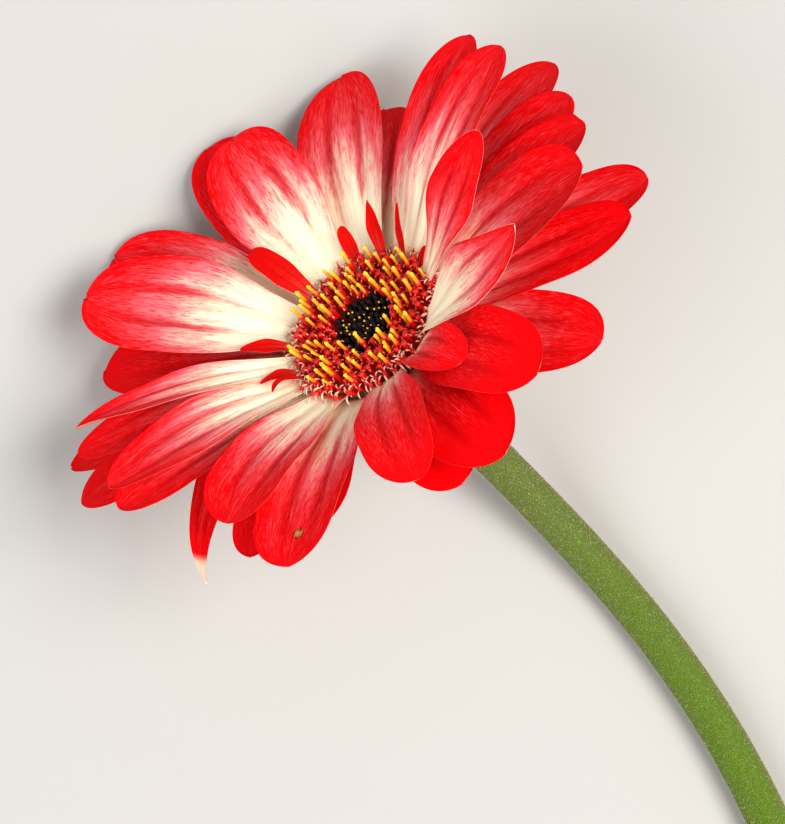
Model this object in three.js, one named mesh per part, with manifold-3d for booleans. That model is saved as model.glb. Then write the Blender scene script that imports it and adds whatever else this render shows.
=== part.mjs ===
// A cut gerbera daisy lying on a flat surface, in millimetres and degrees.
//
// Frame: +Z is up and z = 0 is the surface. +X runs from the stem's cut end towards the flower head.
// The origin is the bottom centre of the whole flower's bounding box.
//
// The flower head is modelled about its own axis (+Z out of its face, origin at the centre of the ring
// that the ray petals grow from) and is then tilted, turned and let down until its lowest petals touch
// the surface. Head azimuths are measured about that axis from the side that ends up highest.
import * as THREE from "three";
import Module from "manifold-3d";
import { mergeVertices } from "three/addons/utils/BufferGeometryUtils.js";

const RAD = Math.PI / 180;

// ---- Driving dimensions -------------------------------------------------------------------------

const CLEARANCE = 0.3; // gap kept between pieces that touch

const HEAD_PITCH = 41; // how far the head's axis points above the surface
const HEAD_HEADING = 10; // which way it points in plan, from +X towards +Y

const RECEPTACLE_RADIUS = 11.2; // the green cup under the petals
const RECEPTACLE_DEPTH = 14.5;
const RECEPTACLE_SHOULDER = 3.5; // how far below the ring's plane the cup stops widening
const NECK_RADIUS = 3.3; // the top of the stem, where it meets the cup

const STEM_MID_RADIUS = 3.05;
const STEM_FOOT_RADIUS = 3.8; // at the cut end
const STEM_LENGTH = 245; // along its centreline
const STEM_BEND = 29; // how far it turns in plan, in degrees
const STEM_BEND_START = 20; // how far from the neck the turn starts
const STEM_BEND_LENGTH = 110; // the length over which it turns
const STEM_SIDES = 12;
const STEM_STATIONS = 22;

const RAY_THICKNESS = 0.5;
const RAY_BASE_SHARE = 0.3; // a petal's width where it grows out, as a share of its full width
const WHORL_GAP = 0.75; // clear height between the roots of two whorls of ray petals
const WHORL_TOP = -0.2; // height of the front whorl's roots, below the ring's plane

const STRAP_THICKNESS = 0.45;
const STRAP_LIFT = 1.1; // height of the short inner straps' roots above the ring's plane

const BRACT_COUNT = 10;
const BRACT_DROP = 7.2; // how far the green scales' roots are below the back whorl's
const BRACT_LIFT = 1.1; // how far their midribs stand off the cup
const BRACT_LENGTH = 11.5;
const BRACT_WIDTH = 4.6;
const BRACT_THICKNESS = 0.7;

const EYE_RADIUS = 4.6; // the unopened florets at the centre of the disc
const EYE_HEIGHT = 3.4;
const FLORET_BED = 1.4; // thickness of the bed that a ring of open florets stands on
const FLORET_RADIUS = 0.85;
const INNER_BED_WIDTH = 2.9;
const INNER_FLORETS = 15;
const INNER_HEIGHT = 4.2; // above the bed
const INNER_LEAN = 2; // outward, in degrees
const OUTER_FLORETS = 22;
const OUTER_HEIGHT = 4.0;
const OUTER_LEAN = 7;

// ---- Ray petals ---------------------------------------------------------------------------------
// One row for each petal, going once round the head: azimuth of its root, whorl (higher numbers further
// forward, fractions between), length, width, rise above the ring's plane at root, middle and tip,
// sideways sweep, twist, and fold (how far each half curls up about the midrib).
const RAYS = [
  [1, 1, 32, 14, [27, 7, -10], 0, 0, 15],
  [13, 2.3, 17, 8.5, [42, 24, -22], 0, 0, 25],
  [18, 1.6, 29.5, 14, [35, 10, -8], 0, 0, 18],
  [30, 0.3, 32, 14, [20, 3, -5], 0, 0, 15],
  [31.2, 3, 36.9, 9.6, [44, 34, 38], 13, 72, 30],
  [53.5, 1, 34, 12.5, [20, 3, 0], 6, 0, 15],
  [63, 2.4, 32, 17, [31, 15, 10], 0, 0, 18],
  [70, 0, 35, 13.5, [10, -3, -8], 0, 0, 15],
  [74, 3.4, 29, 8.4, [48, 42, 44], -14, 66, 12],
  [76, 1.6, 33.5, 13, [29, 13, 5], 0, 0, 15],
  [84, 1, 32.5, 13, [27, 9, 2], -4, 0, 12],
  [95.5, 0.4, 34, 13, [26, 6, 0], -8, 0, 12],
  [108.5, 0, 38, 13, [24, 2, -4], -8, 0, 10],
  [104, 2.2, 35, 11.5, [39, 18, 6], 0, 0, 18],
  [116, 1.2, 36.5, 11, [36, 16, 2], 0, 0, 18],
  [143.5, 0, 32.5, 13, [25, 0, -8], 0, 0, 15],
  [149.5, 1.2, 37.5, 15, [30, 6, -4], 0, 0, 18],
  [172.5, 2, 33.5, 15.5, [35, 16, 5], 0, 0, 20],
  [177, 0.8, 37.5, 14, [30, 14, 5], 0, 0, 15],
  [196, 0, 30, 12, [25, 4, -6], 0, 0, 12],
  [203, 1.1, 39, 14, [25, 12, 5], 0, 0, 18],
  [215, 1.8, 36.5, 17, [29, 20, 13], 0, 0, 17],
  [222.5, 0.3, 36.5, 13, [24, 4, -2], 0, 0, 15],
  [247, 2.5, 34.5, 8, [34, 18, 7], 0, 22, 32],
  [244.5, 1.5, 37, 11, [26, 8, 2], 0, 0, 18],
  [240.5, 0.1, 41.5, 11, [21, 2, -5], 0, 0, 12],
  [251, 0.8, 39.5, 11, [21, 4, -5], 0, 0, 12],
  [264.5, 2.3, 33, 12, [31, 17, 7], 0, 0, 20],
  [266, 1.4, 33.5, 12, [28, 12, 4], 0, 0, 15],
  [256, 0.2, 40, 5.5, [16, 4, 0], 90, -70, 25],
  [296.5, 2.1, 27.5, 15, [32, 16, 0], 0, 0, 20],
  [300.5, 0.7, 29.5, 12, [26, 9, -8], 0, 0, 12],
  [309, 0.1, 22, 11, [23, 2, -10], 0, 0, 12],
  [314, 1.4, 33.5, 15, [28, 11, -3], 0, 0, 18],
  [346, 2.2, 31.5, 11.5, [36, 17, -11], 0, 0, 20],
  [351, 0.2, 26, 13, [22, 3, -14], 0, 0, 15],
];

// Short inner straps, in the same columns without the whorl.
const STRAPS = [
  [190, 13.5, 4.0, [50, 30, 10], 0, 0, 25],
  [149, 6.8, 2.4, [60, 55, 50], 0, 0, 25],
  [128, 9.5, 2.7, [60, 56, 50], 0, 0, 25],
  [107, 9.5, 1.6, [64, 58, 50], 0, 0, 25],
  [86, 4.5, 1.6, [60, 50, 10], 0, 0, 25],
  [234, 8.6, 2.6, [52, 30, 12], 0, 0, 25],
  [258, 6.5, 2.2, [55, 30, 5], 0, 0, 25],
  [268, 6.5, 1.3, [70, 40, -40], 0, 0, 25],
];

// ---- Shape helpers ------------------------------------------------------------------------------

// A closed solid through a list of rings, each a list of the same number of Vector3 points that runs
// anticlockwise seen from the far end. Both ends are capped flat.
function loft(rings) {
  const count = rings[0].length;
  const positions = [];
  const faces = [];
  for (const ring of rings) {
    for (const point of ring) positions.push(point.x, point.y, point.z);
  }
  for (let i = 0; i + 1 < rings.length; i += 1) {
    for (let j = 0; j < count; j += 1) {
      const a = i * count + j;
      const b = i * count + ((j + 1) % count);
      faces.push(a, b, b + count, a, b + count, a + count);
    }
  }
  const last = (rings.length - 1) * count;
  for (let j = 1; j + 1 < count; j += 1) {
    faces.push(0, j + 1, j);
    faces.push(last, last + j, last + j + 1);
  }
  const geometry = new THREE.BufferGeometry();
  geometry.setAttribute("position", new THREE.Float32BufferAttribute(positions, 3));
  geometry.setIndex(faces);
  geometry.computeVertexNormals();
  return geometry;
}

const smooth = (x) => {
  const t = THREE.MathUtils.clamp(x, 0, 1);
  return t * t * (3 - 2 * t);
};

// A unit vector with a plan bearing from +X and a slope above the horizontal, both in radians.
const direction = (bearing, slope) =>
  new THREE.Vector3(
    Math.cos(slope) * Math.cos(bearing),
    Math.cos(slope) * Math.sin(bearing),
    Math.sin(slope),
  );

// A petal's half width along its length: a narrow root that widens, then a round tip.
function halfWidth(s, width, baseShare) {
  const SHOULDER = 0.55;
  const TIP_SHARE = 0.2;
  const grown = baseShare + (1 - baseShare) * smooth(s / SHOULDER);
  const past = Math.max(0, (s - SHOULDER) / (1 - SHOULDER));
  const rounded = Math.sqrt(Math.max(0, 1 - past ** 3));
  return (width / 2) * grown * Math.max(TIP_SHARE, rounded);
}

// A curved, folded, tapering blade that grows from the origin along +X with its face up (+Z).
// Rises, sweep, twist and fold are in degrees; rise is given at root, middle and tip.
function blade(shape) {
  const { length, width, thickness, rise, sweep, twist, fold, baseShare, stations, across } = shape;
  const riseAt = (s) =>
    rise[0] * (1 - s) * (1 - 2 * s) + rise[1] * 4 * s * (1 - s) + rise[2] * s * (2 * s - 1);
  const heading = (s) => direction(sweep * s * RAD, riseAt(s) * RAD);
  const rings = [];
  const centre = new THREE.Vector3();
  let previous = 0;
  for (let i = 0; i <= stations; i += 1) {
    const s = 1 - (1 - i / stations) ** 1.35;
    centre.addScaledVector(heading((s + previous) / 2), (s - previous) * length);
    previous = s;
    const along = heading(s);
    const side = direction(sweep * s * RAD + Math.PI / 2, 0);
    side.applyAxisAngle(along, twist * s * RAD);
    const up = new THREE.Vector3().crossVectors(along, side);
    const half = halfWidth(s, width, baseShare);
    const curl = Math.max(fold * RAD, 0.01);
    const edge = (t, sign) => {
      const thin = (thickness / 2) * (1 - 0.5 * t * t) * sign;
      return centre
        .clone()
        .addScaledVector(side, (half * Math.sin(curl * t)) / curl - thin * Math.sin(curl * t))
        .addScaledVector(up, (half * (1 - Math.cos(curl * t))) / curl + thin * Math.cos(curl * t));
    };
    const ring = [];
    for (let j = 0; j < across; j += 1) ring.push(edge(-1 + (2 * j) / (across - 1), -1));
    for (let j = 0; j < across; j += 1) ring.push(edge(1 - (2 * j) / (across - 1), 1));
    rings.push(ring);
  }
  return loft(rings);
}

const head = new THREE.Group(); // everything about the head's own axis

const petalRed = new THREE.MeshStandardMaterial({ color: 0xe01020, roughness: 0.55, metalness: 0 });
const strapRed = new THREE.MeshStandardMaterial({ color: 0xc80c0c, roughness: 0.5, metalness: 0 });
const floretRed = new THREE.MeshStandardMaterial({ color: 0x9c0c0c, roughness: 0.6, metalness: 0 });
const eyeDark = new THREE.MeshStandardMaterial({ color: 0x120404, roughness: 0.7, metalness: 0 });
const sepalGreen = new THREE.MeshStandardMaterial({ color: 0x6f9440, roughness: 0.7, metalness: 0 });
const stemGreen = new THREE.MeshStandardMaterial({ color: 0x8cae3c, roughness: 0.75, metalness: 0 });

function addTo(group, name, geometry, material) {
  const mesh = new THREE.Mesh(geometry, material);
  mesh.name = name;
  group.add(mesh);
  return mesh;
}

// How high a whorl's roots are: 0 is the back whorl and 2 the front one.
const whorlHeight = (whorl) => WHORL_TOP - (RAY_THICKNESS + WHORL_GAP) * (2 - whorl);

const numbered = (stem, index) => `${stem}_${String(index + 1).padStart(2, "0")}`;

// Puts a blade's root at a radius, azimuth and height on the head.
function plant(mesh, radius, azimuth, height) {
  mesh.position.set(radius * Math.cos(azimuth * RAD), radius * Math.sin(azimuth * RAD), height);
  mesh.rotation.z = azimuth * RAD;
}

// ---- Ray petals and straps ----------------------------------------------------------------------

RAYS.forEach(([azimuth, whorl, length, width, rise, sweep, twist, fold], index) => {
  const geometry = blade({
    length,
    width,
    rise,
    sweep,
    twist,
    fold,
    thickness: RAY_THICKNESS,
    baseShare: RAY_BASE_SHARE,
    stations: 8,
    across: 5,
  });
  const petal = addTo(head, numbered("ray_petal", index), geometry, petalRed);
  plant(petal, RECEPTACLE_RADIUS + CLEARANCE, azimuth, whorlHeight(whorl));
});

STRAPS.forEach(([azimuth, length, width, rise, sweep, twist, fold], index) => {
  const geometry = blade({
    length,
    width,
    rise,
    sweep,
    twist,
    fold,
    thickness: STRAP_THICKNESS,
    baseShare: 0.5,
    stations: 5,
    across: 3,
  });
  const strap = addTo(head, numbered("inner_strap", index), geometry, strapRed);
  plant(strap, RECEPTACLE_RADIUS + CLEARANCE, azimuth, STRAP_LIFT);
});

// ---- Receptacle, bracts and disc ----------------------------------------------------------------

function turned(profile, segments) {
  const geometry = new THREE.LatheGeometry(
    profile.map(([r, z]) => new THREE.Vector2(r, z)),
    segments,
  );
  geometry.rotateX(Math.PI / 2);
  return geometry;
}

const cupTop = WHORL_TOP - 0.2;
const cupProfile = [
  [0, -RECEPTACLE_DEPTH],
  [NECK_RADIUS, -RECEPTACLE_DEPTH],
  [NECK_RADIUS + 0.5, -0.9 * RECEPTACLE_DEPTH],
  [0.52 * RECEPTACLE_RADIUS, -0.73 * RECEPTACLE_DEPTH],
  [0.76 * RECEPTACLE_RADIUS, -0.5 * RECEPTACLE_DEPTH],
  [0.93 * RECEPTACLE_RADIUS, -0.34 * RECEPTACLE_DEPTH],
  [RECEPTACLE_RADIUS, -RECEPTACLE_SHOULDER],
  [RECEPTACLE_RADIUS, cupTop],
  [0, cupTop],
];
addTo(head, "receptacle_cup", turned(cupProfile, 28), sepalGreen);

// The cup's radius at a height between its neck and its shoulder.
function cupRadiusAt(height) {
  const above = cupProfile.findIndex(([r, z]) => r > 0 && z > height);
  const [r0, z0] = cupProfile[above - 1];
  const [r1, z1] = cupProfile[above];
  return r0 + ((r1 - r0) * (height - z0)) / (z1 - z0);
}

// The bracts lie along the cup's side: their rise follows its slope, and their tips turn outwards.
const bractRootHeight = whorlHeight(0) - BRACT_DROP;
const bractRootRadius = cupRadiusAt(bractRootHeight);
const cupSlope =
  Math.atan2(-RECEPTACLE_SHOULDER - bractRootHeight, RECEPTACLE_RADIUS - bractRootRadius) / RAD;
for (let i = 0; i < BRACT_COUNT; i += 1) {
  const geometry = blade({
    length: BRACT_LENGTH,
    width: BRACT_WIDTH,
    thickness: BRACT_THICKNESS,
    rise: [cupSlope - 1, cupSlope - 5, cupSlope - 31],
    sweep: 0,
    twist: 0,
    fold: 18,
    baseShare: 0.6,
    stations: 5,
    across: 3,
  });
  const bract = addTo(head, numbered("bract", i), geometry, sepalGreen);
  const azimuth = (360 / BRACT_COUNT) * (i + 0.5);
  plant(bract, bractRootRadius + BRACT_LIFT, azimuth, bractRootHeight);
}

const { Manifold, Mesh: SolidMesh } = await Module().then((wasm) => {
  wasm.setup();
  return wasm;
});

function solidOf(geometry) {
  const bare = new THREE.BufferGeometry();
  bare.setAttribute("position", geometry.getAttribute("position").clone());
  if (geometry.index) bare.setIndex(geometry.index.clone());
  const welded = mergeVertices(bare, 1e-4);
  return new Manifold(
    new SolidMesh({
      numProp: 3,
      vertProperties: new Float32Array(welded.attributes.position.array),
      triVerts: new Uint32Array(welded.index.array),
    }),
  );
}

function geometryOf(solid) {
  const mesh = solid.getMesh();
  const geometry = new THREE.BufferGeometry();
  geometry.setAttribute("position", new THREE.BufferAttribute(mesh.vertProperties, 3));
  geometry.setIndex(new THREE.BufferAttribute(mesh.triVerts, 1));
  geometry.computeVertexNormals();
  return geometry;
}

// An annular bed with a ring of six-sided floret columns that lean outward.
function floretRing(innerRadius, outerRadius, count, height, lean) {
  const low = cupTop + CLEARANCE;
  const high = low + FLORET_BED;
  const bed = turned(
    [
      [innerRadius, low],
      [outerRadius, low],
      [outerRadius, high],
      [innerRadius, high],
      [innerRadius, low],
    ],
    32,
  );
  let solid = solidOf(bed);
  const ring = (innerRadius + outerRadius) / 2;
  const sunk = FLORET_BED / 2; // how deep a column's foot stands in the bed
  for (let i = 0; i < count; i += 1) {
    const column = Manifold.cylinder(height + sunk, 0.8 * FLORET_RADIUS, FLORET_RADIUS, 6)
      .rotate([0, lean, 0])
      .translate([ring, 0, high - sunk])
      .rotate([0, 0, (360 / count) * i]);
    solid = solid.add(column);
  }
  return geometryOf(solid);
}

const innerBed = EYE_RADIUS + CLEARANCE;
const outerBed = innerBed + INNER_BED_WIDTH + CLEARANCE;
const eyeProfile = [
  [0, 0],
  [1, 0],
  [1, 0.45],
  [0.86, 0.8],
  [0.5, 1],
  [0, 0.92],
].map(([r, z]) => [r * EYE_RADIUS, cupTop + CLEARANCE + z * EYE_HEIGHT]);
addTo(head, "disc_eye", turned(eyeProfile, 24), eyeDark);
addTo(
  head,
  "disc_florets_inner",
  floretRing(innerBed, innerBed + INNER_BED_WIDTH, INNER_FLORETS, INNER_HEIGHT, INNER_LEAN),
  floretRed,
);
addTo(
  head,
  "disc_florets_outer",
  floretRing(outerBed, RECEPTACLE_RADIUS - 0.2, OUTER_FLORETS, OUTER_HEIGHT, OUTER_LEAN),
  floretRed,
);

// ---- Tilting the head and letting it down onto its petals ---------------------------------------

const flower = new THREE.Group();
flower.name = "cut_gerbera";
const posed = new THREE.Group();
posed.name = "head_frame";
posed.rotation.set(0, (90 - HEAD_PITCH) * RAD, HEAD_HEADING * RAD, "ZYX");
posed.add(head);
head.rotation.z = Math.PI; // azimuth 0 is the side that ends up highest
flower.add(posed);
flower.updateMatrixWorld(true);
posed.position.z = -new THREE.Box3().setFromObject(head, true).min.z;

// ---- Stem ---------------------------------------------------------------------------------------

// The stem leaves the neck along the head's axis, bends down to the surface and lies along it.
function stemRings() {
  const pitch = HEAD_PITCH * RAD;
  const axis = new THREE.Vector3(0, 0, 1).applyQuaternion(posed.quaternion);
  const foot = posed.position.clone().addScaledVector(axis, -(RECEPTACLE_DEPTH + CLEARANCE));
  const underside = foot.z - NECK_RADIUS * Math.cos(pitch);
  const descent = (underside * pitch) / (1 - Math.cos(pitch));
  const radiusAt = (s) => {
    const flare = NECK_RADIUS - STEM_MID_RADIUS;
    const swell = STEM_FOOT_RADIUS - STEM_MID_RADIUS;
    return STEM_MID_RADIUS + flare * Math.exp(-s / 12) + swell * (s / STEM_LENGTH) ** 1.6;
  };
  const turnAt = (s) =>
    (HEAD_HEADING + 180 - STEM_BEND * smooth((s - STEM_BEND_START) / STEM_BEND_LENGTH)) * RAD;
  const downAt = (s) => pitch * Math.max(0, 1 - s / descent);
  const rings = [];
  const centre = foot.clone();
  let previous = 0;
  for (let i = 0; i <= STEM_STATIONS; i += 1) {
    const s = STEM_LENGTH * (i / STEM_STATIONS) ** 1.25;
    const middle = (s + previous) / 2;
    centre.addScaledVector(direction(turnAt(middle), -downAt(middle)), s - previous);
    previous = s;
    const along = direction(turnAt(s), -downAt(s));
    const side = direction(turnAt(s) + Math.PI / 2, 0);
    const up = new THREE.Vector3().crossVectors(along, side);
    const radius = radiusAt(s);
    const level = s < descent ? 0 : radius - centre.z;
    const ring = [];
    for (let j = 0; j < STEM_SIDES; j += 1) {
      const a = ((j + 0.5) / STEM_SIDES) * 2 * Math.PI;
      const point = centre.clone();
      point.z += level;
      point.addScaledVector(side, radius * Math.cos(a));
      point.addScaledVector(up, radius * Math.sin(a));
      ring.push(point);
    }
    rings.push(ring);
  }
  return rings;
}
addTo(flower, "stem", loft(stemRings()), stemGreen);

// The origin goes to the bottom centre of the bounding box.
flower.updateMatrixWorld(true);
const box = new THREE.Box3().setFromObject(flower, true);
flower.position.set(-(box.min.x + box.max.x) / 2, -(box.min.y + box.max.y) / 2, -box.min.z);
flower.updateMatrixWorld(true);

export default flower;
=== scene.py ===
"""A cut gerbera daisy lying on a pale surface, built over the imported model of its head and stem.

Lengths are in millimetres until a piece's mesh is made, and every finished mesh is in metres in the
model's own frame. The head is described about its axis: azimuth 0 is the side that ends up highest.
"""
import math

import bpy
import numpy as np
from mathutils import Matrix, Vector


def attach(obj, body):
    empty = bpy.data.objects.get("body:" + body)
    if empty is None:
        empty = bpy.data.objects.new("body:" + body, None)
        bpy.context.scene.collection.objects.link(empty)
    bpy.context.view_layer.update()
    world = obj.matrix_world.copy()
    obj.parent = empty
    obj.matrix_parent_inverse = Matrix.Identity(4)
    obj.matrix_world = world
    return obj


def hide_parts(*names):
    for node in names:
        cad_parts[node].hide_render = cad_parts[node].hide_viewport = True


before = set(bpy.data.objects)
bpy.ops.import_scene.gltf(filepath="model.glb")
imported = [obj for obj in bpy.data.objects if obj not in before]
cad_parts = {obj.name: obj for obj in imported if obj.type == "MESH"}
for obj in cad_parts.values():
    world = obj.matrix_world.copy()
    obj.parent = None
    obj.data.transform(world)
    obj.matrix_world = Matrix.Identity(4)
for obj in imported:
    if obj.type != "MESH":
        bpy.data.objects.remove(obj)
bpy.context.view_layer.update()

MM = 0.001
ROOT = "root"
GOLDEN_ANGLE = 2.39996
LOWEST_HAIR = 0.00002
FLOOR_DROP = 0.0002

# ---- Sizes that match the solid model ----

HEAD_PITCH = math.radians(41)
HEAD_HEADING = math.radians(10)
CLEARANCE = 0.3
CUP_RADIUS = 11.2
CUP_DEPTH = 14.5
CUP_SHOULDER = 3.5
CUP_TOP = -0.4
NECK_RADIUS = 3.3
RAY_THICKNESS = 0.5
WHORL_TOP = -0.2
WHORL_GAP = 0.75
STRAP_LIFT = 1.1
BRACT_COUNT = 10
BRACT_DROP = 7.2
BRACT_LIFT = 1.1
BRACT_LENGTH = 11.5
BRACT_WIDTH = 4.6
STEM_MID_RADIUS = 3.05
STEM_FOOT_RADIUS = 3.8
STEM_LENGTH = 245
STEM_BEND = math.radians(29)
STEM_BEND_START = 20
STEM_BEND_LENGTH = 110

# Ray petals, once round the head: azimuth, whorl, length, width, (rise at root, middle and tip),
# sweep, twist, fold, and how far the cream runs up from the root.
RAYS = [
    (1, 1, 32, 14, [27, 7, -10], 0, 0, 15, 0.05),
    (13, 2.3, 17, 8.5, [42, 24, -22], 0, 0, 25, 0.34),
    (18, 1.6, 29.5, 14, [35, 10, -8], 0, 0, 18, 0.12),
    (30, 0.3, 32, 14, [20, 3, -5], 0, 0, 15, 0.4),
    (31.2, 3, 36.9, 9.6, [44, 34, 38], 13, 72, 30, 0.6),
    (53.5, 1, 34, 12.5, [20, 3, 0], 6, 0, 15, 0.3),
    (63, 2.4, 32, 17, [31, 15, 10], 0, 0, 18, 0.38),
    (70, 0, 35, 13.5, [10, -3, -8], 0, 0, 15, 0.56),
    (74, 3.4, 29, 8.4, [48, 42, 44], -14, 66, 12, 0.32),
    (76, 1.6, 33.5, 13, [29, 13, 5], 0, 0, 15, 0.38),
    (84, 1, 32.5, 13, [27, 9, 2], -4, 0, 12, 0.42),
    (95.5, 0.4, 34, 13, [26, 6, 0], -8, 0, 12, 0.48),
    (108.5, 0, 38, 13, [24, 2, -4], -8, 0, 10, 0.52),
    (104, 2.2, 35, 11.5, [39, 18, 6], 0, 0, 18, 0.52),
    (116, 1.2, 36.5, 11, [36, 16, 2], 0, 0, 18, 0.46),
    (143.5, 0, 32.5, 13, [25, 0, -8], 0, 0, 15, 0.52),
    (149.5, 1.2, 37.5, 15, [30, 6, -4], 0, 0, 18, 0.55),
    (172.5, 2, 33.5, 15.5, [35, 16, 5], 0, 0, 20, 0.57),
    (177, 0.8, 37.5, 14, [30, 14, 5], 0, 0, 15, 0.36),
    (196, 0, 30, 12, [25, 4, -6], 0, 0, 12, 0.42),
    (203, 1.1, 39, 14, [25, 12, 5], 0, 0, 18, 0.54),
    (215, 1.8, 36.5, 17, [29, 20, 13], 0, 0, 17, 0.56),
    (222.5, 0.3, 36.5, 13, [24, 4, -2], 0, 0, 15, 0.2),
    (247, 2.5, 34.5, 8, [34, 18, 7], 0, 22, 32, 0.52),
    (244.5, 1.5, 37, 11, [26, 8, 2], 0, 0, 18, 0.35),
    (240.5, 0.1, 41.5, 11, [21, 2, -5], 0, 0, 12, 0.32),
    (251, 0.8, 39.5, 11, [21, 4, -5], 0, 0, 12, 0.34),
    (264.5, 2.3, 33, 12, [31, 17, 7], 0, 0, 20, 0.5),
    (266, 1.4, 33.5, 12, [28, 12, 4], 0, 0, 15, 0.46),
    (256, 0.2, 40, 5.5, [16, 4, 0], 90, -70, 25, 0.22),
    (296.5, 2.1, 27.5, 15, [32, 16, 0], 0, 0, 20, 0.44),
    (300.5, 0.7, 29.5, 12, [26, 9, -8], 0, 0, 12, 0.3),
    (309, 0.1, 22, 11, [23, 2, -10], 0, 0, 12, 0.3),
    (314, 1.4, 33.5, 15, [28, 11, -3], 0, 0, 18, 0.42),
    (346, 2.2, 31.5, 11.5, [36, 17, -11], 0, 0, 20, 0.26),
    (351, 0.2, 26, 13, [22, 3, -14], 0, 0, 15, 0.08),
]

# Short inner straps, in the same columns without the whorl.
STRAPS = [
    (190, 13.5, 4.0, [50, 30, 10], 0, 0, 25, 0.1),
    (149, 6.8, 2.4, [60, 55, 50], 0, 0, 25, 0.1),
    (128, 9.5, 2.7, [60, 56, 50], 0, 0, 25, 0.1),
    (107, 9.5, 1.6, [64, 58, 50], 0, 0, 25, 0.1),
    (86, 4.5, 1.6, [60, 50, 10], 0, 0, 25, 0.1),
    (234, 8.6, 2.6, [52, 30, 12], 0, 0, 25, 0.1),
    (258, 6.5, 2.2, [55, 30, 5], 0, 0, 25, 0.1),
    (268, 6.5, 1.3, [70, 40, -40], 0, 0, 25, 0.1),
]


# ---- The head's own frame ----

def direction(bearing, slope):
    """Unit vectors with a plan bearing from +X and a slope above the horizontal, in radians."""
    bearing, slope = np.broadcast_arrays(bearing, slope)
    flat = np.cos(slope)
    return np.stack([flat * np.cos(bearing), flat * np.sin(bearing), np.sin(slope)], -1)


def head_matrix():
    """Head coordinates in millimetres to the model's frame in metres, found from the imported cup."""
    axis = Vector(direction(HEAD_HEADING, HEAD_PITCH))
    uphill = (Vector((0, 0, 1)) - axis * axis.z).normalized()
    side = axis.cross(uphill)
    cup = np.array([v.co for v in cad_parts["receptacle_cup"].data.vertices])
    cup = np.unique(cup.round(6), axis=0)
    heights = cup @ np.array(axis)
    middle = Vector(cup.mean(0))
    centre = middle + axis * (heights.max() - CUP_TOP * MM - middle.dot(axis))
    turn = Matrix((uphill, side, axis)).transposed().to_4x4()
    return Matrix.Translation(centre) @ turn @ Matrix.Scale(MM, 4)


HEAD = head_matrix()
HEAD_CENTRE = HEAD.translation.copy()


# ---- Mesh helpers ----

def smooth(x):
    t = np.clip(x, 0, 1)
    return t * t * (3 - 2 * t)


def as_object(name, mesh):
    piece = bpy.data.objects.new(name, mesh)
    bpy.context.scene.collection.objects.link(piece)
    return piece


def build_mesh(name, points, faces, shaded_smooth=True, **fields):
    """A mesh from points and faces, with a float or vector field on its points for each keyword."""
    mesh = bpy.data.meshes.new(name)
    mesh.from_pydata(np.asarray(points, float).tolist(), [], [list(map(int, f)) for f in faces])
    mesh.update()
    for key, values in fields.items():
        values = np.asarray(values, float)
        kind = "FLOAT" if values.ndim == 1 else "FLOAT_VECTOR"
        data = mesh.attributes.new(key, kind, "POINT").data
        data.foreach_set("value" if values.ndim == 1 else "vector", values.ravel())
    if shaded_smooth:
        mesh.polygons.foreach_set("use_smooth", [True] * len(mesh.polygons))
    return mesh


def ring_faces(rows, columns):
    """Faces of a tube of closed rings, outwards where each ring runs anticlockwise seen ahead."""
    faces = []
    for i in range(rows - 1):
        for j in range(columns):
            a, b = i * columns + j, i * columns + (j + 1) % columns
            faces.append((a, b, b + columns, a + columns))
    return faces


def finish_piece(piece, nodes, slot_name):
    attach(piece, ROOT)
    if nodes:
        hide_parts(*nodes)
    return piece


def head_piece(mesh, material, nodes, slot_name, place=HEAD):
    """A piece from a mesh that is still in the head's own coordinates."""
    mesh.transform(place)
    mesh.materials.append(material)
    return finish_piece(as_object(mesh.name, mesh), nodes, slot_name)


# ---- Blades: petals, straps and bracts ----

# How far from a blade's middle its two furrows run, where its edge is 1.
FURROW_PLACE = 0.34


def half_width(s, width, base_share, point=0.0, shoulder=0.55, tip_share=0.06):
    grown = base_share + (1 - base_share) * smooth(s / shoulder)
    past = np.maximum(0, (s - shoulder) / (1 - shoulder))
    rounded = np.maximum(0, 1 - past**3.1) ** 0.5
    rounded = rounded * (1 - point) + (1 - past) ** 0.85 * point
    return width / 2 * grown * np.maximum(tip_share, rounded)


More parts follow.
